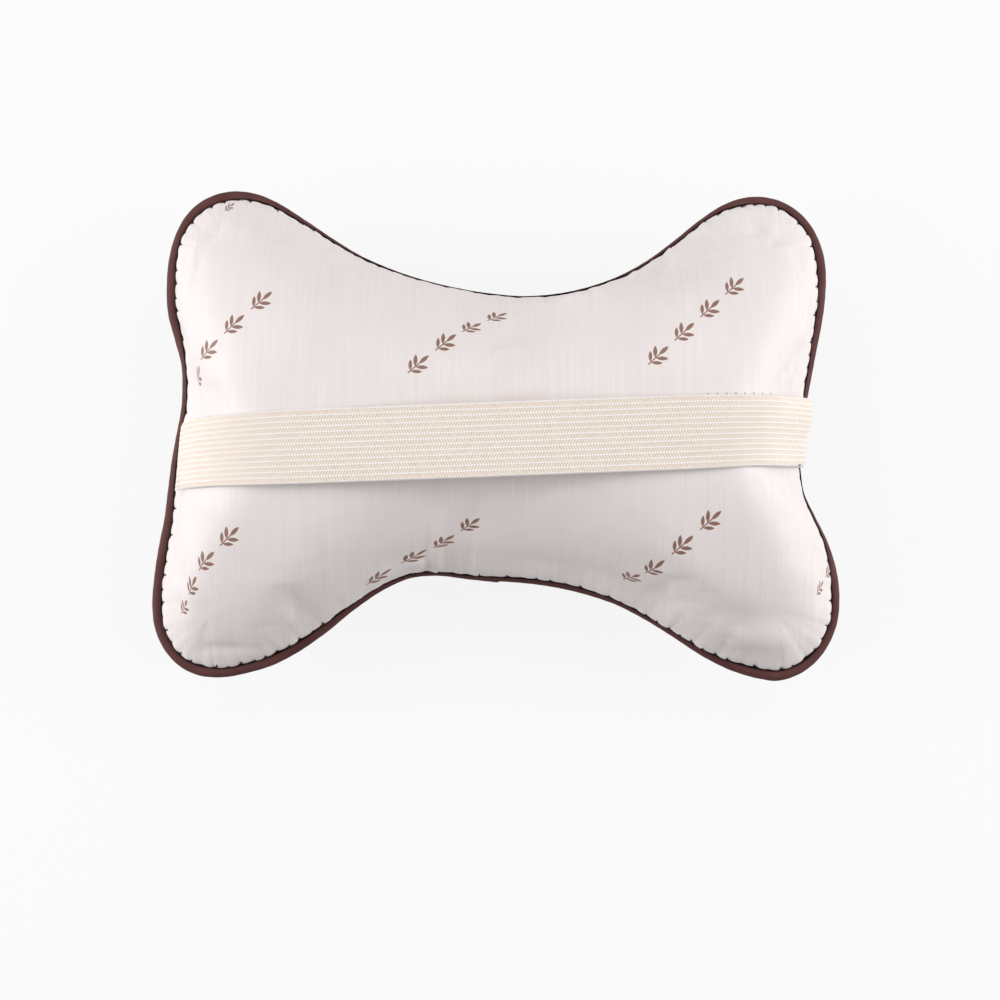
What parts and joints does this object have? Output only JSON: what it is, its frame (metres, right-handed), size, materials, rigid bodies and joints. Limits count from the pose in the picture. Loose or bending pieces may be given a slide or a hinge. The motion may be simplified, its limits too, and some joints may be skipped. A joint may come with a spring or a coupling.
{
  "type": "car neck pillow",
  "caption": "Bone-shaped stuffed neck pillow for a car headrest, with a corded seam all round and a flat elastic strap across its back.",
  "frame": {"origin": "on the surface the pillow lies on, under the middle of its outline", "axes": "+X along the width, +Y towards the edge that is uppermost on the headrest, +Z out of the back, where the strap is"},
  "size_m": [0.2959, 0.2157, 0.0947],
  "materials": {
    "back_cloth": "pale pinkish grey satin lining with fine upright threads and scattered brown motifs",
    "front_cloth": "dark brown woven cloth",
    "polyester_fibre": "loose white fibre",
    "piping_cloth": "dark brown woven cloth with a soft sheen",
    "cotton_cord": "undyed soft cord",
    "elastic": "cream ribbed woven elastic"
  },
  "bodies": {
    "root": {"back_panel": "back_cloth", "front_panel": "front_cloth", "fibre_filling": "polyester_fibre", "piping": "piping_cloth", "piping_cord": "cotton_cord", "elastic_strap": "elastic"}
  },
  "joints": []
}
